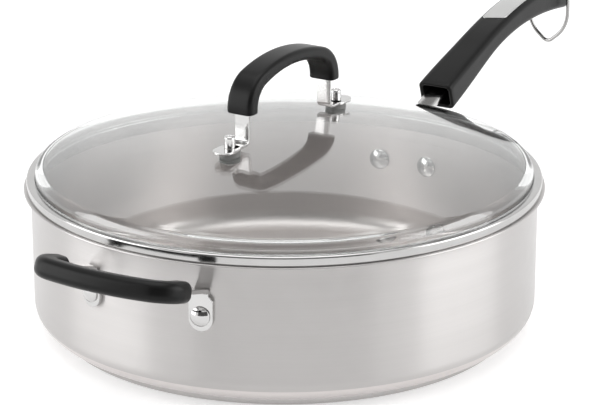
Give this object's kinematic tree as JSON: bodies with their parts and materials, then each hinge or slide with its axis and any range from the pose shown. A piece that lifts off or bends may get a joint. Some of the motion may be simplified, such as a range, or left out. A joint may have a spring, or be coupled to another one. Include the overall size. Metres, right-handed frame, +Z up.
{
  "type": "covered saute pan",
  "caption": "Straight-sided steel saute pan with a bonded base, a domed glass lid, a long riveted handle with a hanging loop and a helper handle.",
  "frame": {"origin": "centre of the base's flat underside", "axes": "+X along the long handle from the pan's axis, +Z up along the pan's axis, the helper handle on -X"},
  "size_m": [0.5652, 0.3, 0.1616],
  "materials": {
    "pan_steel": "satin brushed",
    "fitting_steel": "polished",
    "core_aluminium": "satin",
    "lid_glass": "clear",
    "grip_plastic": "fine matte",
    "seal_rubber": "matte"
  },
  "bodies": {
    "pan": {"pan_body": "pan_steel", "base_core": "core_aluminium", "base_cap": "pan_steel", "lid_glass": "lid_glass", "lid_band": "fitting_steel", "lid_strap": "fitting_steel", "lid_grip": "grip_plastic", "lid_gasket_left": "seal_rubber", "lid_gasket_right": "seal_rubber", "lid_washer_left": "seal_rubber", "lid_washer_right": "seal_rubber", "lid_barrel_left": "fitting_steel", "lid_barrel_right": "fitting_steel", "lid_screw_left": "fitting_steel", "lid_screw_right": "fitting_steel", "handle_bracket": "fitting_steel", "handle_rivet_left": "fitting_steel", "handle_rivet_right": "fitting_steel", "handle_grip": "grip_plastic", "handle_inlay": "fitting_steel", "helper_strap": "fitting_steel", "helper_grip": "grip_plastic", "helper_rivet_left": "fitting_steel", "helper_rivet_right": "fitting_steel"},
    "loop": {"hanging_loop": "fitting_steel"}
  },
  "joints": [
    {"name": "loop_swing", "type": "hinge", "parent": "pan", "child": "loop", "pos_m": [0.3525, 0, 0.11982], "axis": [0, -1, 0], "range_deg": [-55, 235]}
  ]
}
